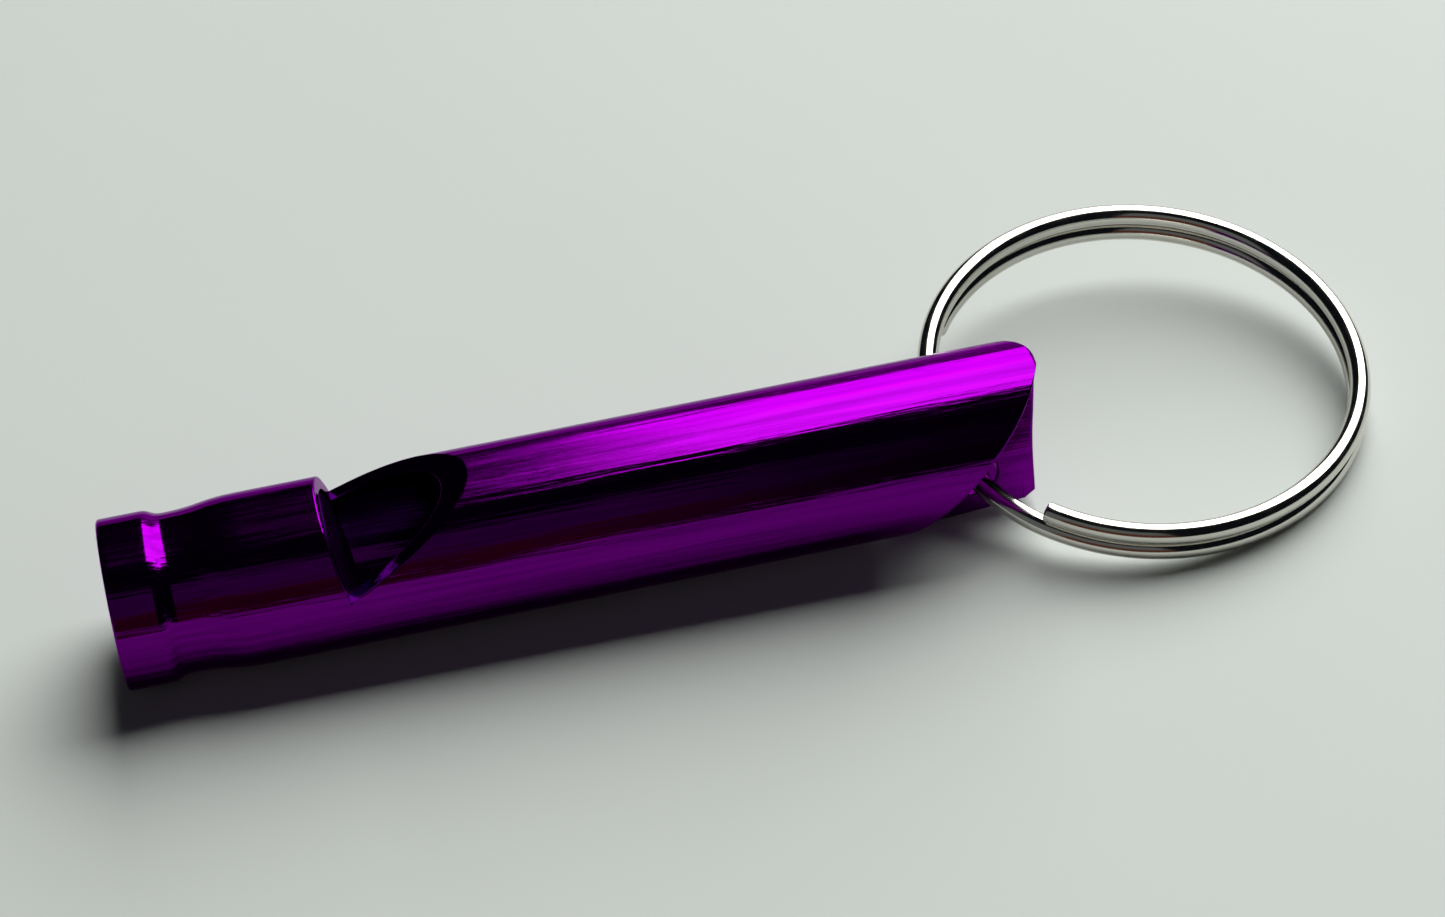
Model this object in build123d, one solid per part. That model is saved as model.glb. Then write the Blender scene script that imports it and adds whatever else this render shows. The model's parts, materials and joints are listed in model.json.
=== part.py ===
from build123d import *

import math
import os

# A key-ring tin whistle: one aluminium tube, the fipple plug crimped into its mouth end, and the
# split ring threaded through the flattened tab at its tail. Millimetres, +Z up.
#
# Whistle pieces are drawn in the tube's own frame: X runs along the tube's axis from the mouth face
# to the tail, and Z points out of the sound window. settled() then lays them on the table, and
# the finished whistle is moved so that the origin is the centre of its footprint.

# Tube
TUBE_DIAMETER = 8.0
TUBE_WALL = 0.65
BODY_LENGTH = 43.6  # mouth face to the tip of the tail
RIM_ROUND = 0.15  # rounding of the mouth's outer lip

# Groove rolled into the tube to grip the plug: steep on its mouth side, gentle on its window side
GROOVE_START = 2.0
GROOVE_LOW = 3.0
GROOVE_END = 6.5
GROOVE_DEPTH = 0.27

# Sound window: a notch with a steep face towards the mouth and a ramp towards the tail
WINDOW_START = 10.05  # mouth face to the top of the steep face
WINDOW_DEPTH = 3.2  # below the tube's crown
WINDOW_LEAN = 11.3  # degrees of the steep face from upright
RAMP_ANGLE = 27.0  # degrees of the ramp from the axis

# Fipple plug: a turned slug with a flat that leaves the windway above it
PLUG_RECESS = 0.3  # behind the mouth face
PLUG_CLEARANCE = 0.02  # radial, between the plug and the bore
PLUG_SETBACK = 0.1  # behind the window's steep face
WINDWAY_HEIGHT = 0.9  # from the flat to the bore's crown

# Tail: the tube is folded shut along a sloping plane, and its flattened walls stand on as a tab
FOLD_ANGLE = 46.0  # degrees of the fold from the axis
FOLD_SETBACK = 0.35  # tip of the tail to the top of the fold
FOLD_ROUND = 0.15
TAB_THICKNESS = 1.3  # two walls, pressed together
TAB_DROP = 0.526  # how far the tab's heel reaches below the tube
TAB_HEEL = 6.0  # tip of the tail to the heel
TAB_RISE = 0.4  # how far the tab's lower edge rises from the heel to the corner
TAB_WAIST = 0.5  # how far the tab's end stands back from the tip
TAB_CORNER = 0.5

# Hole in the tab
HOLE_PLAY = 1.6  # how much wider the hole is than the ring's wire
HOLE_FROM_TIP = 3.55
HOLE_BELOW_AXIS = 1.95

# Split ring: nearly two turns of round wire in two stacked coils, lying tilted on the table
RING_DIAMETER = 21.5
WIRE_DIAMETER = 1.0
COIL_GAP = 0.04
LOWER_COIL_END = 150.0  # degrees round the ring to the lower coil's cut end
UPPER_COIL_END = 230.0  # and to the upper coil's: between them the ring is a single wire
RING_CROSSING = 203.0  # degrees round the ring where the single wire passes the tab
WIRE_BELOW_HOLE = 0.13  # how far the wire there lies below the middle of the hole
RING_ROLL = 7.3  # degrees that the ring's far side is lifted
CROSSOVER_SECTIONS = 9
PITCH_TOLERANCE = 1e-6  # radians

RADIUS = TUBE_DIAMETER / 2
WIRE_RADIUS = WIRE_DIAMETER / 2
COIL_RADIUS = RING_DIAMETER / 2 - WIRE_RADIUS
COIL_LEVEL = WIRE_RADIUS + COIL_GAP / 2  # each coil's centre line above or below the ring's plane
TAB_END = BODY_LENGTH - TAB_WAIST
TAB_LOW = -RADIUS - TAB_DROP
HOLE_X = BODY_LENGTH - HOLE_FROM_TIP

# The tube lies on the lip of its mouth and on the heel of its tab, so it is pitched up a little.
REST_PITCH = math.degrees(math.atan2(TAB_DROP, BODY_LENGTH - TAB_HEEL))


def turned(depth, start, end):
    """A solid turned to the tube's own line, depth inside its outer surface, groove included."""
    side = RADIUS - depth
    low = side - GROOVE_DEPTH
    steep = (GROOVE_START + GROOVE_LOW) / 2
    gentle = (GROOVE_LOW + GROOVE_END) / 2
    outline = [
        Line((start, 0), (start, side)),
        Line((start, side), (GROOVE_START, side)),
        Bezier((GROOVE_START, side), (steep, side), (steep, low), (GROOVE_LOW, low)),
        Bezier((GROOVE_LOW, low), (gentle, low), (gentle, side), (GROOVE_END, side)),
        Line((GROOVE_END, side), (end, side)),
        Line((end, side), (end, 0)),
        Line((end, 0), (start, 0)),
    ]
    return revolve(make_face(outline), Axis.X)


def prism(outline, width):
    """A solid with its side outline in X and Z, width wide and centred on the tube's middle."""
    return extrude(Plane.XZ * make_face(outline), width / 2, both=True)


def fold_plane(inset):
    """The plane that the tail is folded along, moved into the tube by inset, with its normal out."""
    angle = math.radians(FOLD_ANGLE)
    out = Vector(math.sin(angle), 0, -math.cos(angle))
    top = Vector(BODY_LENGTH - FOLD_SETBACK, 0, RADIUS)
    return Plane(origin=top - out * inset, x_dir=(0, 1, 0), z_dir=out)


def steep_plane(setback):
    """The plane of the window's steep face, moved towards the mouth by setback."""
    lean = math.radians(WINDOW_LEAN)
    out = Vector(math.cos(lean), 0, math.sin(lean))
    top = Vector(WINDOW_START, 0, RADIUS)
    return Plane(origin=top - out * setback, x_dir=(0, 1, 0), z_dir=out)


def window_notch():
    """What the window takes out of the tube: a V that is open above the crown."""
    above = WINDOW_DEPTH + RADIUS
    lean = math.tan(math.radians(WINDOW_LEAN))
    foot = (WINDOW_START + WINDOW_DEPTH * lean, RADIUS - WINDOW_DEPTH)
    steep_top = (foot[0] - above * lean, foot[1] + above)
    ramp_top = (foot[0] + above / math.tan(math.radians(RAMP_ANGLE)), foot[1] + above)
    return prism(Polyline(foot, ramp_top, steep_top, close=True), 2 * TUBE_DIAMETER)


def tab():
    """The flattened tab: its end bows in below the tip, and its lower edge rises both ways from the heel."""
    middle = fold_plane(TUBE_WALL / 2)
    slope = 1 / math.tan(math.radians(FOLD_ANGLE))
    top = (middle.origin.X - TUBE_WALL * slope, middle.origin.Z - TUBE_WALL)
    foot_z = TUBE_WALL / 2 - RADIUS
    foot = (middle.origin.X - (middle.origin.Z - foot_z) * slope, foot_z)
    heel = (BODY_LENGTH - TAB_HEEL, TAB_LOW)
    halfway = (heel[0] + foot[0]) / 2
    corner_low = TAB_LOW + TAB_RISE
    corner_centre = (TAB_END - TAB_CORNER, corner_low + TAB_CORNER)
    outline = [
        Line(top, (BODY_LENGTH - TUBE_WALL, RADIUS)),
        Line((BODY_LENGTH - TUBE_WALL, RADIUS), (BODY_LENGTH, RADIUS - TUBE_WALL / 2)),
        Bezier(
            (BODY_LENGTH, RADIUS - TUBE_WALL / 2),
            (TAB_END + TAB_WAIST / 3, RADIUS / 2),
            (TAB_END, 0),
            (TAB_END, -RADIUS / 2),
        ),
        Line((TAB_END, -RADIUS / 2), (TAB_END, corner_centre[1])),
        CenterArc(corner_centre, TAB_CORNER, 0, -90),
        Line((corner_centre[0], corner_low), heel),
        Bezier(heel, (halfway, TAB_LOW), (halfway, foot_z), foot),
        Line(foot, top),
    ]
    below_crown = Pos(BODY_LENGTH / 2, 0, 0) * (
        Cylinder(RADIUS, 2 * BODY_LENGTH, rotation=(0, 90, 0))
        + Pos(0, 0, -RADIUS) * Box(2 * BODY_LENGTH, TUBE_DIAMETER, TUBE_DIAMETER)
    )
    return prism(outline, TAB_THICKNESS) & below_crown


def body_tube():
    """The tube with its groove and window, folded shut at the tail, with the tab and its hole."""
    skin = split(turned(0, 0, BODY_LENGTH), bisect_by=fold_plane(0), keep=Keep.BOTTOM)
    skin = fillet(skin.edges().group_by(Axis.X)[0], RIM_ROUND)
    fold_face = skin.faces().filter_by(GeomType.PLANE).sort_by(Axis.X)[-1]
    skin = fillet(fold_face.edges(), FOLD_ROUND)
    bore = split(turned(TUBE_WALL, 0, BODY_LENGTH), bisect_by=fold_plane(TUBE_WALL), keep=Keep.BOTTOM)
    hole_radius = (WIRE_DIAMETER + HOLE_PLAY) / 2
    hole = Pos(HOLE_X, 0, -HOLE_BELOW_AXIS) * Cylinder(hole_radius, TUBE_DIAMETER, rotation=(90, 0, 0))
    return skin + tab() - bore - window_notch() - hole


def fipple_plug():
    """The plug: turned to the bore with a waist under the groove, flat on top, cut off at the window."""
    slug = split(
        turned(TUBE_WALL + PLUG_CLEARANCE, PLUG_RECESS, WINDOW_START + TUBE_DIAMETER),
        bisect_by=steep_plane(PLUG_SETBACK),
        keep=Keep.BOTTOM,
    )
    flat = RADIUS - TUBE_WALL - WINDWAY_HEIGHT
    return slug - Pos(0, 0, flat + RADIUS) * Box(4 * BODY_LENGTH, TUBE_DIAMETER, TUBE_DIAMETER)


def settled(piece):
    """A whistle piece laid down: its mouth's lip and its tab's heel both touch the table."""
    lift = RADIUS * math.cos(math.radians(REST_PITCH))
    return Pos(0, 0, lift) * Rot(0, -REST_PITCH, 0) * piece


def wire_level(angle):
    """Height of the single wire in the ring's plane as it eases from the upper coil to the lower."""
    share = (angle - LOWER_COIL_END) / (UPPER_COIL_END - LOWER_COIL_END)
    return COIL_LEVEL * (1 - 2 * share * share * (3 - 2 * share))


def wire_point(angle, level):
    """A point of the wire's centre line in the ring's own frame."""
    turn = math.radians(angle)
    return Vector(COIL_RADIUS * math.cos(turn), COIL_RADIUS * math.sin(turn), level)


def wire_section(angle, level):
    """The round end of the wire, facing along the ring at this angle."""
    turn = math.radians(angle)
    along = Vector(-math.sin(turn), math.cos(turn), 0)
    return Plane(origin=wire_point(angle, level), x_dir=(0, 0, 1), z_dir=along) * Circle(WIRE_RADIUS)


def leaning_plane(pitch):
    """The ring's plane with its whistle side lifted by pitch and its far side by the roll, on the table."""
    roll = math.radians(RING_ROLL)
    along = Vector(math.cos(pitch), 0, -math.sin(pitch))
    normal = along.cross(Vector(0, math.cos(roll), math.sin(roll))).normalized()
    tilt = math.acos(normal.Z)
    height = COIL_RADIUS * math.sin(tilt) + COIL_LEVEL * math.cos(tilt) + WIRE_RADIUS
    return Plane(origin=(0, 0, height), x_dir=along, z_dir=normal)


def crossing_point(plane):
    """Where the single wire's centre line passes the tab, for a ring in this plane."""
    return plane.from_local_coords(wire_point(RING_CROSSING, wire_level(RING_CROSSING)))


def ring_plane():
    """The ring's plane at rest: its whistle side is lifted until the wire lies in the tab's hole."""
    hole = settled(Vertex(HOLE_X, 0, -HOLE_BELOW_AXIS)).center()
    low, high = 0, math.pi / 2
    while high - low > PITCH_TOLERANCE:
        pitch = (low + high) / 2
        if crossing_point(leaning_plane(pitch)).Z < hole.Z - WIRE_BELOW_HOLE:
            low = pitch
        else:
            high = pitch
    plane = leaning_plane(low)
    crossing = crossing_point(plane)
    centre = (hole.X - crossing.X, -crossing.Y, plane.origin.Z)
    return Plane(origin=centre, x_dir=plane.x_dir, z_dir=plane.z_dir)


def split_ring():
    """The ring: an upper coil, a single wire that passes through the tab, and a lower coil."""
    turn = 360 - (UPPER_COIL_END - LOWER_COIL_END)
    upper = revolve(wire_section(UPPER_COIL_END, COIL_LEVEL), Axis.Z, turn)
    lower = revolve(wire_section(UPPER_COIL_END, -COIL_LEVEL), Axis.Z, turn)
    step = (UPPER_COIL_END - LOWER_COIL_END) / (CROSSOVER_SECTIONS - 1)
    angles = [LOWER_COIL_END + step * i for i in range(CROSSOVER_SECTIONS)]
    single = loft([wire_section(angle, wire_level(angle)) for angle in angles])
    return ring_plane().location * (upper + single + lower)


pieces = {
    "body_tube": settled(body_tube()),
    "fipple_plug": settled(fipple_plug()),
    "split_ring": split_ring(),
}
box = Compound(list(pieces.values())).bounding_box()
to_origin = Pos(-box.center().X, -box.center().Y, -box.min.Z)

os.makedirs("parts", exist_ok=True)
for name, piece in pieces.items():
    export_step(to_origin * piece, f"parts/{name}.step")
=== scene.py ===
import json
import math

import bmesh
import bpy
import numpy as np
from mathutils import Matrix, Vector


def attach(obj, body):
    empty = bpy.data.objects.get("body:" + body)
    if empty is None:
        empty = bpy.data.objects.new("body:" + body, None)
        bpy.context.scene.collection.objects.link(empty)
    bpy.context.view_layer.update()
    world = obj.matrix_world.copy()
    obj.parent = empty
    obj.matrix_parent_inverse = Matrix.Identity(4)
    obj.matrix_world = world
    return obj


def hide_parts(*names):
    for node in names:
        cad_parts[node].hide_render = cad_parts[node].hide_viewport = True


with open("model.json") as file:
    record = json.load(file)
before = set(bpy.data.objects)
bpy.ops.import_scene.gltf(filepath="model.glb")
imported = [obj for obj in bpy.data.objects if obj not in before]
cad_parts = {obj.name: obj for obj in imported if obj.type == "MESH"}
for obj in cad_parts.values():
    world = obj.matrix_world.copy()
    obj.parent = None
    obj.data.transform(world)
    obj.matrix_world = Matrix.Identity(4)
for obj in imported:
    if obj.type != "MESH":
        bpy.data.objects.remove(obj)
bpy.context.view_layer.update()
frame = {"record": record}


# ---- Body tube ----------------------------------------------------------------------------------
# One piece of drawn aluminium tube, polished lengthwise and bright anodised. A groove is rolled
# in near the mouth, the sound window is milled as a V, and the tail is folded shut and pressed
# flat into a tab. Millimetres, in the tube's own frame: X from the mouth, Z out of the window.

mounts = {mount["name"]: mount for mount in frame["record"]["mounts"]}
TUBE_RADIUS = mounts["mouth_lip"]["dims"]["r_mm"]
WALL = 0.65
BORE_RADIUS = TUBE_RADIUS - WALL
BODY_LENGTH = 43.6
LIP_ROUND = 0.15  # outer edge of the mouth
BORE_ROUND = 0.08  # inner edge of the mouth
GROOVE_START = 2.0
GROOVE_LOW = 3.0  # where it is deepest, with a steep side in front and a gentle one behind
GROOVE_END = 6.5
GROOVE_DEPTH = 0.27

WINDOW_START = 10.05  # mouth face to the top of the window's steep face
WINDOW_DEPTH = 3.2
WINDOW_LEAN = math.radians(11.3)
RAMP_ANGLE = math.radians(27.0)
WINDOW_EDGE = 0.07  # broken edge round the window
WINDOW_FADE = 0.06  # share of the way from the foot to the crown over which that edge grows from nothing
STEEP_CLEAR = 9.0  # a station in front of the whole window
RAMP_CLEAR = 18.5  # and one behind it
FOOT_X = WINDOW_START + WINDOW_DEPTH * math.tan(WINDOW_LEAN)
FOOT_Z = TUBE_RADIUS - WINDOW_DEPTH

FOLD_ANGLE = math.radians(46.0)
FOLD_SETBACK = 0.35
FOLD_SOFTNESS = 0.8  # how gently the fold's top edge turns over at the tip
FOLD_LEAD = 0.08  # how far below the crown the fold's plane starts at the tip
FOLD_EDGE = 0.3  # rounding along the fold's two outer edges
NOSE_ROUND = 0.3
TAIL_START = 35.4  # where the tube stops being a plain tube

TAB_HALF = WALL  # two walls pressed together
TAB_LOW = -TUBE_RADIUS - 0.526
TAB_RISE = 0.4  # of the lower edge, from the heel to the corner
TAB_END = BODY_LENGTH - 0.5
TAB_FLARE = 0.17  # how far the end's curve stands out again on its way to the nose
TAB_CORNER = 0.5
TAB_HEEL_X = BODY_LENGTH - 6.0
TAB_FOOT = (35.6, -3.675)  # where the tab's lower edge leaves the underside
TAB_EDGE = 0.16
TAB_FILLET = 0.45  # hollow between the tab and the fold
HOLE_X = BODY_LENGTH - 3.55
HOLE_Z = -1.95
HOLE_RADIUS = 1.3
HOLE_ROUND = 0.14  # radius of the hole's rim
HOLE_FLARE = 0.12  # how deep below each face of the tab the rim's rounding starts

SIDE_STEPS = 40  # columns of the grids between the underside and one of the window's feet
CROWN_STEPS = 100  # and between its two feet, over the crown
WINDOW_COLUMNS = slice(SIDE_STEPS, SIDE_STEPS + CROWN_STEPS + 1)

lip_axis = np.array(mounts["mouth_lip"]["axis"])
lip_half = mounts["mouth_lip"]["dims"]["length_mm"] / 2
mouth_centre = np.array(mounts["mouth_lip"]["pos_m"]) + lip_axis * (lip_half + LIP_ROUND) / 1000
tube_axes = np.array([-lip_axis, (0, 1, 0), np.cross(-lip_axis, (0, 1, 0))])


def laid(points):
    """Tube millimetres to metres on the table: the mouth's centre plus each coordinate along its axis."""
    return mouth_centre + points @ tube_axes / 1000


def bezier(points, steps):
    """Points of a Bezier curve of any order: each is the sum of the controls times Bernstein weights."""
    controls = np.array(points, float)
    order = len(controls) - 1
    t = np.asarray(steps)[(...,) + (None,) * (controls.ndim - 1)]
    weights = [math.comb(order, k) * t**k * (1 - t) ** (order - k) for k in range(order + 1)]
    return sum(w * c for w, c in zip(weights, controls))


def tube_line(start, end, depth):
    """Stations along the tube and its radius there, depth inside the outer surface, groove included."""
    side = TUBE_RADIUS - depth
    low = side - GROOVE_DEPTH
    steep = (GROOVE_START + GROOVE_LOW) / 2
    gentle = (GROOVE_LOW + GROOVE_END) / 2
    into = [(GROOVE_START, side), (steep, side), (steep, low), (GROOVE_LOW, low)]
    into = bezier(into, np.linspace(0, 1, 15))
    out = [(GROOVE_LOW, low), (gentle, low), (gentle, side), (GROOVE_END, side)]
    out = bezier(out, np.linspace(0, 1, 25))
    before = [(x, side) for x in np.linspace(start, GROOVE_START, 8)[:-1]]
    after = [(x, side) for x in np.linspace(GROOVE_END, end, 12)[1:]]
    line = np.concatenate([before, into, out[1:], after])
    return line[:, 0], line[:, 1]


def ring_angles(foot_angle):
    """Angles round the tube, from the underside over the crown, with columns on the window's two feet."""
    side = np.linspace(-math.pi, -foot_angle, SIDE_STEPS + 1)
    top = np.linspace(-foot_angle, foot_angle, CROWN_STEPS + 1)
    return np.concatenate([side[:-1], top[:-1], -side[::-1]])


def on_tube(x, radius, angle):
    """Points at these stations, radii and angles from the crown: Y is r sin(angle), Z is r cos(angle)."""
    x, radius, angle = np.broadcast_arrays(x, radius, angle)
    return np.stack([x, radius * np.sin(angle), radius * np.cos(angle)], -1)


def spread(start, end, steps):
    """Rows from the start row to the end row of points, in these shares of the way."""
    share = np.asarray(steps)[:, None, None]
    return start + (end - start) * share


def steep_x(z):
    """Station of the window's steep face at this height."""
    return WINDOW_START + (TUBE_RADIUS - z) * math.tan(WINDOW_LEAN)


def ramp_x(z):
    """Station of the window's ramp at this height."""
    return FOOT_X + (z - FOOT_Z) / math.tan(RAMP_ANGLE)


def window_side(face_x, away, reach):
    """Outer wall, inner wall and cut face on one side of the window, as three grids.

    The walls run from the stations in reach to the cut's edge, where z = r cos(angle) meets the face;
    below the window's foot they stop at the foot. The cut joins the walls, with its edges broken."""
    walls, starts, corners = [], [], []
    taper = np.clip((1 - np.abs(np.linspace(-1, 1, CROWN_STEPS + 1))) / WINDOW_FADE, 0, 1)
    share = 1 - (1 - np.linspace(0, 1, 25)[1:]) ** 1.3  # rows gather towards the cut
    for radius, (line_x, line_r) in zip((TUBE_RADIUS, BORE_RADIUS), reach):
        angle = ring_angles(math.acos(FOOT_Z / radius))
        height = radius * np.cos(angle)
        edge = np.where(height > FOOT_Z, face_x(height), FOOT_X)
        edge[WINDOW_COLUMNS] = face_x(height[WINDOW_COLUMNS])
        corners.append(on_tube(edge, radius, angle)[WINDOW_COLUMNS])
        edge[WINDOW_COLUMNS] += away * WINDOW_EDGE * taper
        rows = on_tube(line_x[:, None], line_r[:, None], angle[None])
        last = on_tube(edge, radius, angle)
        starts.append(last[WINDOW_COLUMNS])
        walls.append(np.concatenate([rows, spread(rows[-1], last, share)]))
    broken = (WINDOW_EDGE / WALL * taper)[:, None]
    outer_in = corners[0] + (corners[1] - corners[0]) * broken
    inner_in = corners[1] + (corners[0] - corners[1]) * broken
    for points in (outer_in, inner_in):
        points[:, 0] = face_x(points[:, 2])
    outer_round = bezier([starts[0], corners[0], outer_in], np.linspace(0, 1, 5))
    inner_round = bezier([inner_in, corners[1], starts[1]], np.linspace(0, 1, 5))
    cut = spread(outer_in, inner_in, np.linspace(0, 1, 7)[1:-1])
    walls.append(np.concatenate([outer_round, cut, inner_round]))
    return walls


def mouth_lip():
    """The mouth's end face with both edges rounded: a profile from the bore to the outside, turned once."""
    turn = np.linspace(0, math.pi / 2, 8)
    inner_x = BORE_ROUND * (1 - np.sin(turn))
    inner_r = BORE_RADIUS + BORE_ROUND * (1 - np.cos(turn))
    outer_x = LIP_ROUND * (1 - np.cos(turn))
    outer_r = TUBE_RADIUS - LIP_ROUND * (1 - np.sin(turn))
    profile_x = np.concatenate([inner_x, outer_x])[:, None]
    profile_r = np.concatenate([inner_r, outer_r])[:, None]
    share = np.linspace(0, 1, len(profile_x))[:, None]
    inner = ring_angles(math.acos(FOOT_Z / BORE_RADIUS))
    outer = ring_angles(math.acos(FOOT_Z / TUBE_RADIUS))
    return on_tube(profile_x, profile_r, inner + (outer - inner) * share)


def fold_x(z, inset):
    """Station of the fold's plane at this height, moved into the tube by inset."""
    tip = BODY_LENGTH - FOLD_SETBACK
    return tip + (z - TUBE_RADIUS) / math.tan(FOLD_ANGLE) - inset / math.sin(FOLD_ANGLE)


def rear_bore():
    """The bore behind the window, and the folded wall that closes it.

    That wall is the bore's last loop, on the fold's plane, drawn in to its middle."""
    angle = ring_angles(math.acos(FOOT_Z / BORE_RADIUS))
    height = BORE_RADIUS * np.cos(angle)
    start = on_tube(np.full_like(angle, RAMP_CLEAR), BORE_RADIUS, angle)
    end = on_tube(fold_x(height, WALL), BORE_RADIUS, angle)
    wall = spread(start, end, np.linspace(0, 1, 24))
    shrink = np.linspace(1, 0, 10)[:, None]
    across = BORE_RADIUS * np.sin(angle) * shrink
    up = height * shrink
    cap = np.stack([fold_x(up, WALL), across, up], -1)
    return [wall, cap]


def fold_height(x):
    """Height of the fold at this station: a plane at the fold's angle that turns over softly at the tip.

    It lies below the crown by the smooth ramp (a + sqrt(a2 + c2)) / 2, less its value at the tip."""
    ramp = math.tan(FOLD_ANGLE) * (BODY_LENGTH - x) + FOLD_LEAD
    below = (ramp + np.sqrt(ramp**2 + FOLD_SOFTNESS**2)) / 2
    below -= (FOLD_LEAD + math.hypot(FOLD_LEAD, FOLD_SOFTNESS)) / 2
    return np.clip(TUBE_RADIUS - below, -TUBE_RADIUS, TUBE_RADIUS)


def tab_outline(stations):
    """Edge of the tab for each station: along its lower edge, round the corner and up its end.

    In front of the corner each point lies straight below its station; from there on the points are
    spread by length over the corner's arc and the end's curve up to the nose. Returns the points, and
    at each one the direction into the tab."""
    halfway = (TAB_HEEL_X + TAB_FOOT[0]) / 2
    heel = [TAB_FOOT, (halfway, TAB_FOOT[1]), (halfway, TAB_LOW), (TAB_HEEL_X, TAB_LOW)]
    heel = bezier(heel, np.linspace(0, 1, 60))
    turn = np.linspace(0, math.pi / 2, 12)
    corner_x = TAB_END - TAB_CORNER
    corner_z = TAB_LOW + TAB_RISE
    corner = TAB_CORNER * np.stack([np.sin(turn), 1 - np.cos(turn)], -1) + (corner_x, corner_z)
    nose = (BODY_LENGTH, TUBE_RADIUS - NOSE_ROUND)
    rise = [(TAB_END, -TUBE_RADIUS / 2), (TAB_END, 0), (TAB_END + TAB_FLARE, TUBE_RADIUS / 2), nose]
    rise = bezier(rise, np.linspace(0, 1, 60))
    under = stations <= corner_x
    low = np.interp(stations[under], np.append(heel[:, 0], corner_x), np.append(heel[:, 1], corner_z))
    behind = np.stack([stations[under], low], -1)
    path = np.concatenate([corner, rise])
    length = np.append(0, np.cumsum(np.linalg.norm(np.diff(path, axis=0), axis=1)))
    share = (stations[~under] - corner_x) / (BODY_LENGTH - corner_x)
    along = share**0.8 * length[-1]  # a little ahead of even spacing at first
    end = np.stack([np.interp(along, length, path[:, 0]), np.interp(along, length, path[:, 1])], -1)
    edge = np.concatenate([behind, end])
    tangent = np.gradient(edge, axis=0)
    tangent /= np.linalg.norm(tangent, axis=1)[:, None]
    return edge, np.stack([-tangent[:, 1], tangent[:, 0]], -1)


def folded_tail():
    """The folded tail as closed loops, one for each station.

    Each loop is the crown's arc, the rounded fold, the ledge along the fold's plane, a hollow fillet, the
    tab's flat side and its rounded edge, and the same again mirrored. Where the tube is still whole,
    all but the arc shrinks to one point; at the tip every part shrinks to the nose."""
    middle, half = (TAIL_START + BODY_LENGTH) / 2, (BODY_LENGTH - TAIL_START) / 2
    x = middle - half * np.cos(np.linspace(0, math.pi, 141))
    column = x[:, None]
    nose = np.clip(x - (BODY_LENGTH - NOSE_ROUND), 0, NOSE_ROUND)
    drop = (NOSE_ROUND - np.sqrt(NOSE_ROUND**2 - nose**2))[:, None]
    fold = fold_height(column)
    corner_angle = np.arccos(fold / TUBE_RADIUS)
    corner_y = TUBE_RADIUS * np.sin(corner_angle)
    rounding = np.minimum(FOLD_EDGE, 0.4 * corner_y)  # each part shrinks where there is no room for it
    flank = corner_y - rounding
    half_tab = np.minimum(TAB_HALF, 0.6 * flank)
    edge, inward = tab_outline(x)
    edge[:, 1] = np.minimum(edge[:, 1], (fold - drop)[:, 0])
    depth = np.maximum((fold - drop)[:, 0] - edge[:, 1], 0)[:, None]
    fillet = np.minimum(np.minimum(TAB_FILLET, 0.5 * (flank - half_tab)), 0.5 * depth)
    edge_round = np.minimum(TAB_EDGE, 0.3 * depth)

    arc_end = corner_angle - rounding / TUBE_RADIUS
    arc_angle = ring_angles(math.acos(FOOT_Z / TUBE_RADIUS))[None] / math.pi * arc_end
    arc = on_tube(column, TUBE_RADIUS, arc_angle)
    arc[..., 2] -= drop

    def point(y, z):
        return np.stack(np.broadcast_arrays(column[:, 0], y[:, 0], z[:, 0]), -1)

    top = fold - drop
    bend = [
        point(TUBE_RADIUS * np.sin(arc_end), TUBE_RADIUS * np.cos(arc_end) - drop),
        point(corner_y, top),
        point(flank, top),
    ]
    bend = np.swapaxes(bezier(bend, np.linspace(0, 1, 8)[1:]), 0, 1)
    ledge_share = np.linspace(0, 1, 9)[None, 1:]
    ledge_y = flank + (half_tab + fillet - flank) * ledge_share
    ledge = np.stack(np.broadcast_arrays(column, ledge_y, top), -1)
    turn = np.linspace(0, math.pi / 2, 8)[None, 1:]
    fillet_y = half_tab + fillet * (1 - np.sin(turn))
    fillet_z = top - fillet * (1 - np.cos(turn))
    hollow = np.stack(np.broadcast_arrays(column, fillet_y, fillet_z), -1)
    bow = np.linspace(0, math.pi / 2, 7)[None]
    rim = edge[:, None] + inward[:, None] * (edge_round * (1 - np.sin(bow)))[..., None]
    rim_y = half_tab - edge_round * (1 - np.cos(bow))
    rim = np.stack([rim[..., 0], rim_y, rim[..., 1]], -1)
    side = hollow[:, -1:] + (rim[:, :1] - hollow[:, -1:]) * np.linspace(0, 1, 22)[None, 1:-1, None]
    sole = rim[:, -1:] * np.array([1, 0, 1])
    right = np.concatenate([bend, ledge, hollow, side, rim, sole], 1)
    left = (right * np.array([1, -1, 1]))[:, ::-1]
    return np.concatenate([left, arc, right], 1)


def joined(grids, finishes=None):
    """One mesh of quads from point grids, with their shared seams and closed ends merged.

    Finishes gives the number of each grid's material, where a piece has more than one."""
    corners, quads, first = [], [], 0
    for grid in grids:
        rows, columns = grid.shape[:2]
        at = (np.arange(rows - 1)[:, None] * columns + np.arange(columns - 1)[None]).reshape(-1)
        quads.append(np.stack([at, at + 1, at + columns + 1, at + columns], 1) + first)
        corners.append(grid.reshape(-1, 3))
        first += rows * columns
    mesh = bpy.data.meshes.new("grids")
    mesh.from_pydata(np.concatenate(corners).tolist(), [], np.concatenate(quads).tolist())
    if finishes:
        numbers = np.repeat(np.array(finishes, np.int32), [len(part) for part in quads])
        mesh.polygons.foreach_set("material_index", numbers)
    work = bmesh.new()
    work.from_mesh(mesh)
    bmesh.ops.remove_doubles(work, verts=work.verts, dist=2e-5)
    bmesh.ops.dissolve_degenerate(work, dist=1e-5, edges=work.edges)
    bmesh.ops.recalc_face_normals(work, faces=work.faces)
    work.to_mesh(mesh)
    work.free()
    return mesh


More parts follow.
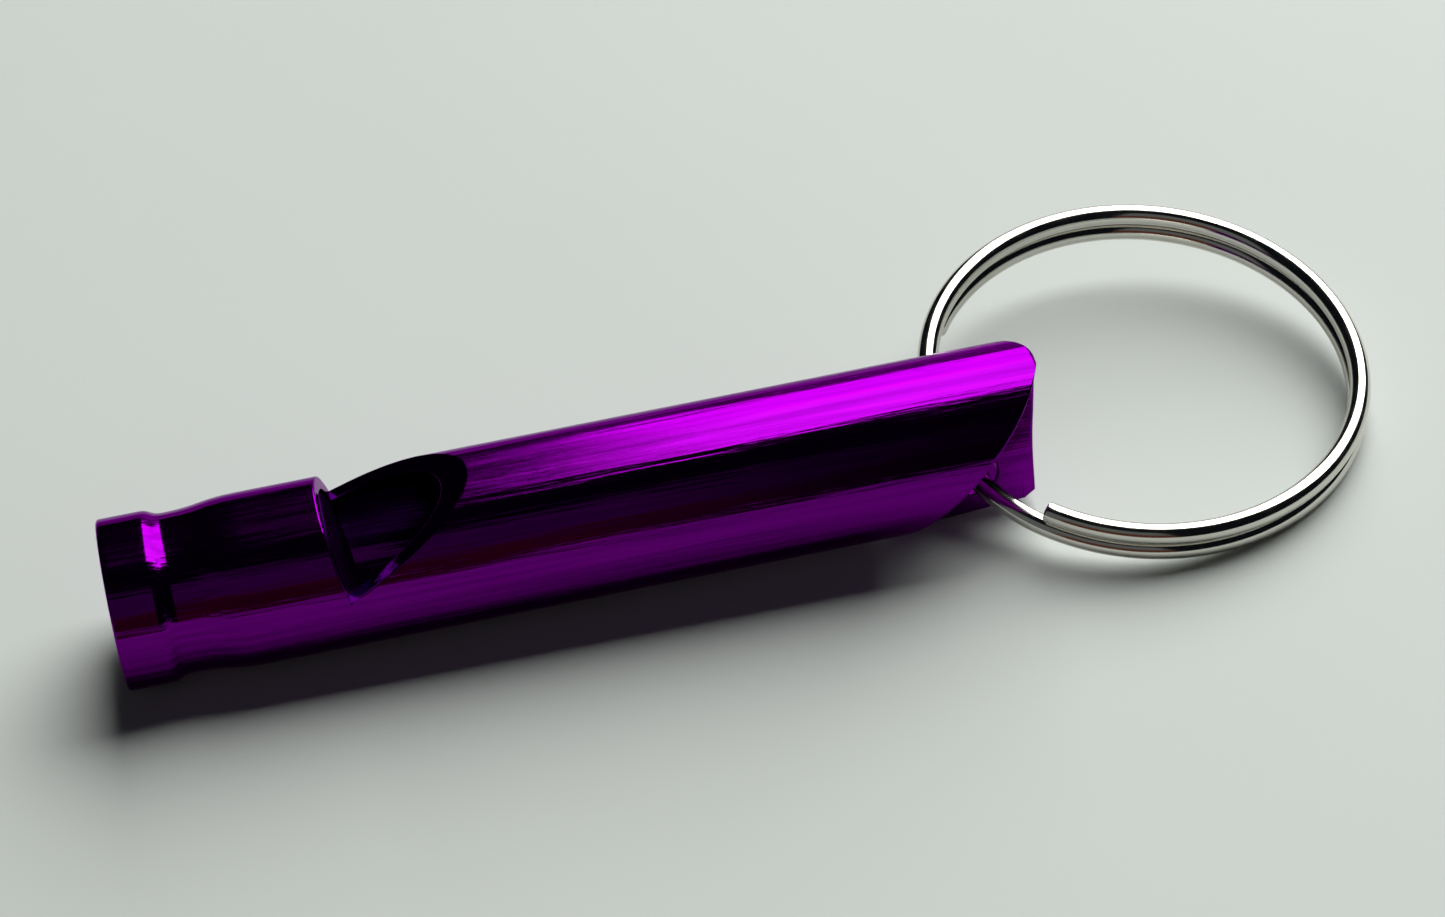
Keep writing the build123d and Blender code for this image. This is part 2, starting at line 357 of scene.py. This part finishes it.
def placed(mesh, place):
    """Moves a mesh's points by a function that takes a piece's own millimetres to metres on the table."""
    points = np.empty(len(mesh.vertices) * 3)
    mesh.vertices.foreach_get("co", points)
    mesh.vertices.foreach_set("co", place(points.reshape(-1, 3)).reshape(-1))
    mesh.update()
    return mesh


def add_piece(name, mesh, materials, body, sharp=38):
    """Puts a finished mesh in the scene, smooth but for its sharp edges, and lets it ride on its body."""
    mesh.name = name
    mesh.shade_smooth()
    mesh.set_sharp_from_angle(angle=math.radians(sharp))
    mesh.materials.clear()
    for material in materials:
        mesh.materials.append(material)
    piece = bpy.data.objects.new(name, mesh)
    bpy.context.scene.collection.objects.link(piece)
    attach(piece, body)
    return piece


def drilled(mesh):
    """The tab's hole, cut by a turned cutter that widens near the tab's two faces and so rounds the rim.

    Its radius is R + r - sqrt(r2 - d2) at a distance d past the start of the rounding."""
    past = np.array([0, 0.03, 0.07, 0.10, 0.13])
    reach = np.append(0, TAB_HALF - HOLE_FLARE + past)
    flare = HOLE_RADIUS + HOLE_ROUND - np.sqrt(HOLE_ROUND**2 - np.append(0, past) ** 2)
    reach = np.append(reach, TAB_HALF + 1)
    flare = np.append(flare, flare[-1] + 0.5)
    across = np.concatenate([-reach[:0:-1], reach])[:, None]
    radius = np.concatenate([flare[:0:-1], flare])[:, None]
    turn = np.linspace(0, 2 * math.pi, 97)[None]
    x = HOLE_X + radius * np.cos(turn)
    z = HOLE_Z + radius * np.sin(turn)
    barrel = np.stack(np.broadcast_arrays(x, across, z), -1)
    middles = [np.broadcast_to((HOLE_X, across[i, 0], HOLE_Z), barrel[i].shape) for i in (0, -1)]
    ends = [np.stack([middle, barrel[i]]) for middle, i in zip(middles, (0, -1))]
    cutter = bpy.data.objects.new("hole_cutter", joined([barrel, *ends]))
    blank = bpy.data.objects.new("blank", mesh)
    for item in (cutter, blank):
        bpy.context.scene.collection.objects.link(item)
    cut = blank.modifiers.new("hole", "BOOLEAN")
    cut.object = cutter
    cut.solver = "EXACT"
    shaped = bpy.data.meshes.new_from_object(blank.evaluated_get(bpy.context.evaluated_depsgraph_get()))
    for item in (cutter, blank):
        bpy.data.objects.remove(item)
    return shaped


def linear(code):
    """An sRGB hex colour as the linear values that shaders take."""
    parts = [int(code[i:i + 2], 16) / 255 for i in (1, 3, 5)]
    return [c / 12.92 if c <= 0.04045 else ((c + 0.055) / 1.055) ** 2.4 for c in parts] + [1]


def add_node(tree, kind, inputs=None, **settings):
    """Adds a node, sets its properties, and fills each named input with a value or another's output."""
    node = tree.nodes.new(kind)
    for name, value in settings.items():
        setattr(node, name, value)
    for name, value in (inputs or {}).items():
        if isinstance(value, bpy.types.NodeSocket):
            tree.links.new(value, node.inputs[name])
        else:
            node.inputs[name].default_value = value
    return node


def new_material(name):
    """An empty node material, and its node tree with the surface's output node."""
    material = bpy.data.materials.new(name)
    material.use_nodes = True
    tree = material.node_tree
    tree.nodes.clear()
    return material, tree, add_node(tree, "ShaderNodeOutputMaterial")


def bright_anodised(name, slope, line_width, line_length):
    """Bright anodised aluminium: a clear dyed oxide on polished metal, so its reflections take the dye's
    colour and hardly scatter. Polishing lines run along it, at its slope, and break up the edges of a
    reflection. Real ones are finer: these are as wide, in millimetres, as they need to be to show."""
    material, tree, output = new_material(name)
    place = add_node(tree, "ShaderNodeTexCoord").outputs["Object"]
    stretch = (1000 / line_length, 1000 / line_width, 1000 / line_width)
    lines = add_node(
        tree,
        "ShaderNodeMapping",
        {"Vector": place, "Rotation": (0, slope, 0), "Scale": stretch},
    ).outputs[0]
    fine = add_node(
        tree,
        "ShaderNodeTexNoise",
        {"Vector": lines, "Scale": 1.0, "Detail": 3.0, "Roughness": 0.6},
    )
    broad = add_node(
        tree,
        "ShaderNodeTexNoise",
        {"Vector": lines, "Scale": 0.3, "Detail": 2.0, "Roughness": 0.5},
    )
    streaks = add_node(
        tree, "ShaderNodeMapRange", {"Value": broad.outputs["Fac"], "From Min": 0.3, "From Max": 0.7}
    )
    dye = add_node(
        tree,
        "ShaderNodeMix",
        {"Factor": streaks.outputs[0], "A": linear("#5c0170"), "B": linear("#710386")},
        data_type="RGBA",
    )
    gloss = add_node(
        tree,
        "ShaderNodeMapRange",
        {"Value": fine.outputs["Fac"], "From Min": 0.3, "From Max": 0.7, "To Min": 0.07, "To Max": 0.15},
    )
    mixed = add_node(
        tree,
        "ShaderNodeMath",
        {0: broad.outputs["Fac"], 1: 4.5, 2: fine.outputs["Fac"]},
        operation="MULTIPLY_ADD",
    )
    relief = add_node(
        tree, "ShaderNodeBump", {"Height": mixed.outputs[0], "Strength": 1.0, "Distance": 8e-6}
    )
    surface = add_node(
        tree,
        "ShaderNodeBsdfPrincipled",
        {
            "Base Color": dye.outputs["Result"],
            "Specular Tint": linear("#d4a4dc"),
            "Metallic": 1.0,
            "Roughness": gloss.outputs[0],
            "Normal": relief.outputs[0],
        },
    )
    tree.links.new(surface.outputs[0], output.inputs["Surface"])
    return material


def dull_anodised_with_painted_shade(name):
    """Anodised aluminium that was never polished, so fine tool and die marks scatter what it reflects. Its
    dye is darker than the polished tube's: partly the unpolished finish, and partly painted shade for the
    dim bore, the window's cut faces and the plug. The marks are a sixth of a millimetre wide, and the dye
    varies over 2 mm."""
    material, tree, output = new_material(name)
    place = add_node(tree, "ShaderNodeTexCoord").outputs["Object"]
    marks = add_node(tree, "ShaderNodeTexNoise", {"Vector": place, "Scale": 6000.0, "Detail": 2.0})
    cloud = add_node(tree, "ShaderNodeTexNoise", {"Vector": place, "Scale": 500.0, "Detail": 2.0})
    dye = add_node(
        tree,
        "ShaderNodeMix",
        {"Factor": cloud.outputs["Fac"], "A": linear("#280335"), "B": linear("#350647")},
        data_type="RGBA",
    )
    relief = add_node(tree, "ShaderNodeBump", {"Height": marks.outputs["Fac"], "Distance": 4e-6})
    surface = add_node(
        tree,
        "ShaderNodeBsdfPrincipled",
        {
            "Base Color": dye.outputs["Result"],
            "Specular Tint": linear("#6a3478"),
            "Metallic": 1.0,
            "Roughness": 0.42,
            "Normal": relief.outputs[0],
        },
    )
    tree.links.new(surface.outputs[0], output.inputs["Surface"])
    return material


front_wall = tube_line(LIP_ROUND, STEEP_CLEAR, 0)
front_bore = tube_line(BORE_ROUND, STEEP_CLEAR, WALL)
rear_wall = (np.linspace(TAIL_START, RAMP_CLEAR, 40), np.full(40, TUBE_RADIUS))
rear_bore_start = (np.array([RAMP_CLEAR]), np.array([BORE_RADIUS]))
steep_side = window_side(steep_x, -1, (front_wall, front_bore))
ramp_side = window_side(ramp_x, 1, (rear_wall, rear_bore_start))
tube_grids = [*steep_side, *ramp_side, mouth_lip(), *rear_bore(), folded_tail()]

# The dull finish has a darker dye, partly painted shade for the dim bore and the window's cut faces.
POLISHED, DULL_WITH_PAINTED_SHADE = 0, 1  # the tube's two finishes, in the order of its materials
steep_finishes = [POLISHED, DULL_WITH_PAINTED_SHADE, POLISHED]
ramp_finishes = [POLISHED, DULL_WITH_PAINTED_SHADE, DULL_WITH_PAINTED_SHADE]
tube_finishes = [*steep_finishes, *ramp_finishes, POLISHED, DULL_WITH_PAINTED_SHADE, DULL_WITH_PAINTED_SHADE, POLISHED]
slope = math.atan2(tube_axes[0][2], tube_axes[0][0])
anodised_tube = bright_anodised("anodised_aluminium_polished_lengthwise", slope, 0.12, 4.0)
dull_bore_with_painted_shade = dull_anodised_with_painted_shade("anodised_aluminium_unpolished_with_painted_shade")
tube_mesh = placed(drilled(joined(tube_grids, tube_finishes)), laid)
tube = add_piece("tube", tube_mesh, [anodised_tube, dull_bore_with_painted_shade], "whistle")
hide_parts("body_tube")


# ---- Fipple plug --------------------------------------------------------------------------------
# A turned aluminium slug, anodised with the tube, pressed into the mouth and gripped by the groove.
# The flat on its top leaves the windway, which aims the breath at the sharp edge of the window's ramp.

PLUG_RECESS = 0.3  # behind the mouth
PLUG_CLEARANCE = 0.02
PLUG_RADIUS = BORE_RADIUS - PLUG_CLEARANCE
PLUG_SETBACK = 0.1  # behind the window's steep face
PLUG_FLAT = BORE_RADIUS - 0.9  # height of the flat, a windway's height below the crown
PLUG_EDGE = 0.15
PLUG_CENTRE_Z = -0.4  # height of the point that its end faces are drawn in to
PLUG_CLEAR = 9.4  # a station in front of its whole leaning rear face
FACE_STEPS = 5  # loops in each end face


def plug_loops():
    """The plug as loops along it: a circle with its top cut flat, drawn in to a point at both end faces.

    Each loop runs round the lower arc and back along the flat. The edges of the end faces are rounded
    by a quarter circle, and the rear face leans as the window's steep face does."""
    line_x, line_r = tube_line(PLUG_RECESS + PLUG_EDGE, PLUG_CLEAR, WALL + PLUG_CLEARANCE)
    turn = np.linspace(0, math.pi / 2, 7)
    front_x = PLUG_RECESS + PLUG_EDGE * (1 - np.sin(turn[:-1]))[::-1]
    front_in = (PLUG_EDGE * (1 - np.cos(turn[:-1])))[::-1]
    rear_x = PLUG_EDGE * np.sin(turn[1:])
    rear_in = PLUG_EDGE * (1 - np.cos(turn[1:]))
    before = FACE_STEPS + len(front_x)
    after = FACE_STEPS + len(rear_x)
    face_in = [PLUG_EDGE] * FACE_STEPS
    station = np.concatenate([[PLUG_RECESS] * FACE_STEPS, front_x, line_x, [PLUG_CLEAR] * after])
    radius = np.concatenate([[PLUG_RADIUS] * before, line_r, [PLUG_RADIUS] * after])
    inset = np.concatenate([face_in, front_in, line_x * 0, rear_in, face_in])
    shrink = np.ones(len(station))
    shrink[:FACE_STEPS] = np.linspace(0, 0.8, FACE_STEPS)
    shrink[-FACE_STEPS:] = np.linspace(0.8, 0, FACE_STEPS)
    leaning = np.concatenate([np.zeros(before + len(line_x)), rear_x, face_in])
    loop_radius = (radius - inset)[:, None]
    flat = PLUG_FLAT - inset[:, None]
    cut = np.arccos(flat / loop_radius)
    arc = cut + (2 * math.pi - 2 * cut) * np.linspace(0, 1, 91)[None]
    arc_y, arc_z = loop_radius * np.sin(arc), loop_radius * np.cos(arc)
    back = np.linspace(0, 1, 21)[None, 1:]
    top_y = arc_y[:, -1:] + (arc_y[:, :1] - arc_y[:, -1:]) * back
    y = np.concatenate([arc_y, top_y], 1) * shrink[:, None]
    z = np.concatenate([arc_z, np.broadcast_to(flat, top_y.shape)], 1)
    z = PLUG_CENTRE_Z + (z - PLUG_CENTRE_Z) * shrink[:, None]
    rear = (np.arange(len(station)) >= before + len(line_x))[:, None]
    face = steep_x(z) - PLUG_SETBACK - PLUG_EDGE + leaning[:, None]
    x = np.where(rear, face, station[:, None])
    return np.stack([x, y, z], -1)


# The plug's darker dye is partly painted shade, for its place inside the mouth.
turned_plug_with_painted_shade = dull_anodised_with_painted_shade("anodised_aluminium_as_turned_with_painted_shade")
plug = add_piece("plug", placed(joined([plug_loops()]), laid), [turned_plug_with_painted_shade], "whistle")
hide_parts("fipple_plug")


# ---- Split ring ---------------------------------------------------------------------------------
# Round spring-steel wire, coiled nearly twice and bright nickel plated. It is threaded through the
# tab's hole where only one thickness of wire runs, and its two cut ends lie against the other coil.

WIRE_RADIUS = 0.5
COIL_RADIUS = 10.25  # of the wire's centre line
COIL_LEVEL = 0.52  # the centre line above or below the middle of the two coils
FIRST_END = math.radians(230)  # where the upper coil starts, as an angle round the ring
CROSSOVER_START = math.radians(510)
CROSSOVER_END = math.radians(590)
LAST_END = math.radians(870)  # where the lower coil ends, nearly two turns on
END_ROUND = 0.1  # rounding of the two cut ends

eye = mounts["split_ring_eye"]
ring_normal = np.array(eye["axis"])
ring_x = np.array([ring_normal[2], 0, -ring_normal[0]])
ring_x /= np.linalg.norm(ring_x)
ring_y = np.cross(ring_normal, ring_x)


def wire_grid():
    """The wire's surface: a circle carried round the ring, R + r cos(u) out and level + r sin(u) up.

    The level eases by a smooth step from the upper coil to the lower over the single stretch, and the
    circle shrinks to a point at each cut end, with the cut's edge rounded."""
    angle = np.linspace(FIRST_END, LAST_END, 641)
    turn = np.linspace(0, math.pi / 2, 6)
    shorten = np.concatenate([[0, 0], END_ROUND * (1 - np.sin(turn[::-1]))])
    scale = np.concatenate([[0, 0.5], 1 - END_ROUND / WIRE_RADIUS * (1 - np.cos(turn[::-1]))])
    lead = shorten / COIL_RADIUS
    margin = 2 * END_ROUND / COIL_RADIUS
    angle = angle[(angle > FIRST_END + margin) & (angle < LAST_END - margin)]
    size = np.concatenate([scale, np.ones(len(angle)), scale[::-1]]) * WIRE_RADIUS
    angle = np.concatenate([FIRST_END + lead, angle, (LAST_END - lead)[::-1]])
    share = np.clip((angle - CROSSOVER_START) / (CROSSOVER_END - CROSSOVER_START), 0, 1)
    level = COIL_LEVEL * (1 - 2 * share**2 * (3 - 2 * share))
    around = np.linspace(0, 2 * math.pi, 49)[None]
    out = COIL_RADIUS + size[:, None] * np.cos(around)
    up = level[:, None] + size[:, None] * np.sin(around)
    return np.stack([out * np.cos(angle)[:, None], out * np.sin(angle)[:, None], up], -1)


def hung(points):
    """Ring millimetres to metres on the table: the eye's centre plus each coordinate along its axis."""
    return np.array(eye["pos_m"]) + points @ np.array([ring_x, ring_y, ring_normal]) / 1000


def bright_nickel():
    """Bright nickel plate on drawn wire: a warm white mirror, with the drawing's waves, about 1 mm long,
    just showing, and a faint stain that changes over 5 mm."""
    material, tree, output = new_material("bright_nickel_plate_on_drawn_wire")
    place = add_node(tree, "ShaderNodeTexCoord").outputs["Object"]
    waves = add_node(tree, "ShaderNodeTexNoise", {"Vector": place, "Scale": 900.0, "Detail": 3.0})
    stain = add_node(tree, "ShaderNodeTexNoise", {"Vector": place, "Scale": 220.0, "Detail": 3.0})
    colour = add_node(
        tree,
        "ShaderNodeMix",
        {"Factor": stain.outputs["Fac"], "A": linear("#c9c6bb"), "B": linear("#e2e0da")},
        data_type="RGBA",
    )
    gloss = add_node(
        tree,
        "ShaderNodeMapRange",
        {"Value": waves.outputs["Fac"], "From Min": 0.3, "From Max": 0.7, "To Min": 0.07, "To Max": 0.16},
    )
    relief = add_node(tree, "ShaderNodeBump", {"Height": waves.outputs["Fac"], "Distance": 3e-6})
    surface = add_node(
        tree,
        "ShaderNodeBsdfPrincipled",
        {
            "Base Color": colour.outputs["Result"],
            "Metallic": 1.0,
            "Roughness": gloss.outputs[0],
            "Normal": relief.outputs[0],
        },
    )
    tree.links.new(surface.outputs[0], output.inputs["Surface"])
    return material


ring = add_piece("ring", placed(joined([wire_grid()]), hung), [bright_nickel()], "ring")
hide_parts("split_ring")


# ---- Table, light and camera --------------------------------------------------------------------
# A plain pale table, a large soft window light that leans over it from above to the far side, and a
# dark room around it, which leaves the near side of the tube almost black. None of this is part of
# the whistle.

TABLE_REACH = 1.5  # metres, to each side


def table_top():
    """A square table at the height where the object rests."""
    at = np.linspace(-TABLE_REACH, TABLE_REACH, 3)
    x, y = np.meshgrid(at, at)
    grid = np.stack([x, y, x * 0], -1)
    mesh = joined([grid])
    if mesh.polygons[0].normal.z < 0:
        mesh.flip_normals()
    return mesh


table_paint, tree, output = new_material("matt_painted_table")
place = add_node(tree, "ShaderNodeTexCoord").outputs["Object"]
mottle = add_node(tree, "ShaderNodeTexNoise", {"Vector": place, "Scale": 25.0, "Detail": 4.0})
tone = add_node(
    tree,
    "ShaderNodeMix",
    {"Factor": mottle.outputs["Fac"], "A": linear("#cad0cc"), "B": linear("#d0d6d2")},
    data_type="RGBA",
)
paint = add_node(tree, "ShaderNodeBsdfPrincipled", {"Base Color": tone.outputs["Result"], "Roughness": 0.7})
tree.links.new(paint.outputs[0], output.inputs["Surface"])
table = bpy.data.objects.new("table", table_top())
table.data.materials.append(table_paint)
bpy.context.scene.collection.objects.link(table)

LIGHT_NEAR = Vector((0.0, 0.04, 0.95))  # the light's edge that is overhead, in metres
LIGHT_FAR = Vector((0.0, 0.92, 0.30))  # and its edge low over the far side
LIGHT_LEFT = 0.03  # where both edges start and end, across the table
LIGHT_RIGHT = 0.95
LIGHT_RADIANCE = 5.0  # watts per square metre and steradian

light = bpy.data.lights.new("window", "AREA")
light.shape = "RECTANGLE"
light.size = LIGHT_RIGHT - LIGHT_LEFT
light.size_y = (LIGHT_FAR - LIGHT_NEAR).length
light.energy = LIGHT_RADIANCE * math.pi * light.size * light.size_y
light.color = (1.0, 1.0, 0.98)
window_light = bpy.data.objects.new("window", light)
span = (LIGHT_NEAR - LIGHT_FAR).normalized()
back = span.cross(Vector((1, 0, 0)))  # the light shines the other way, down on the table
axes = Matrix((span.cross(back), span, back)).transposed()
middle = (LIGHT_NEAR + LIGHT_FAR) / 2 + Vector(((LIGHT_LEFT + LIGHT_RIGHT) / 2, 0, 0))
window_light.matrix_world = Matrix.Translation(middle) @ axes.to_4x4()
bpy.context.scene.collection.objects.link(window_light)

room = bpy.data.worlds.new("room")
room.use_nodes = True
tree = room.node_tree
direction = add_node(tree, "ShaderNodeTexCoord").outputs["Generated"]
heading = add_node(tree, "ShaderNodeSeparateXYZ", {"Vector": direction}).outputs


def wall_patch(*edges):
    """How far a direction lies inside a patch of the room: the product of ramps, each on one axis, that
    run smoothly from 0 at the first value to 1 at the second."""
    share = 1.0
    for axis, start, end in edges:
        ramp = add_node(
            tree,
            "ShaderNodeMapRange",
            {"Value": heading[axis], "From Min": start, "From Max": end},
            interpolation_type="SMOOTHSTEP",
        )
        product = add_node(tree, "ShaderNodeMath", {0: share, 1: ramp.outputs[0]}, operation="MULTIPLY")
        share = product.outputs[0]
    return share


UNLIT_ROOM = (0.004, 0.005, 0.007, 1)
PALE_WALL = (0.4, 0.37, 0.4, 1)  # under the window
GREY_WALL = (0.11, 0.12, 0.12, 1)  # behind the viewer, to the left
BROWN_SKIRTING = (0.09, 0.03, 0.02, 1)  # along the foot of the grey wall

walls = [
    (PALE_WALL, wall_patch(("Y", 0.8, 0.92), ("X", -0.02, 0.16))),
    (GREY_WALL, wall_patch(("Y", -0.25, -0.4), ("Z", 0.84, 0.74), ("X", 0.09, 0.05))),
    (BROWN_SKIRTING, wall_patch(("Y", -0.6, -0.75), ("Z", 0.48, 0.36), ("X", 0.09, 0.05))),
]
shade = UNLIT_ROOM
for colour, share in walls:
    layer = add_node(tree, "ShaderNodeMix", {"Factor": share, "A": shade, "B": colour}, data_type="RGBA")
    shade = layer.outputs["Result"]
tree.links.new(shade, tree.nodes["Background"].inputs["Color"])
bpy.context.scene.world = room

AIM = Vector((-0.0012, -0.0018, 0.004))
AZIMUTH = math.radians(6.75)
ELEVATION = math.radians(42.15)
ROLL = math.radians(-6.13)
DISTANCE = 0.2189  # metres from the camera to the point it aims at

camera = bpy.data.cameras.new("camera")
camera.sensor_width = 36.0
camera.lens = 116.97
ahead = Vector((math.sin(AZIMUTH), math.cos(AZIMUTH), -math.tan(ELEVATION))).normalized()
level = ahead.cross(Vector((0, 0, 1))).normalized()
upright = level.cross(ahead)
right = level * math.cos(ROLL) + upright * math.sin(ROLL)
top = right.cross(ahead)
viewer = bpy.data.objects.new("camera", camera)
turned = Matrix((right, top, -ahead)).transposed().to_4x4()
viewer.matrix_world = Matrix.Translation(AIM - ahead * DISTANCE) @ turned
bpy.context.scene.collection.objects.link(viewer)
bpy.context.scene.camera = viewer
bpy.context.scene.view_settings.view_transform = "Standard"
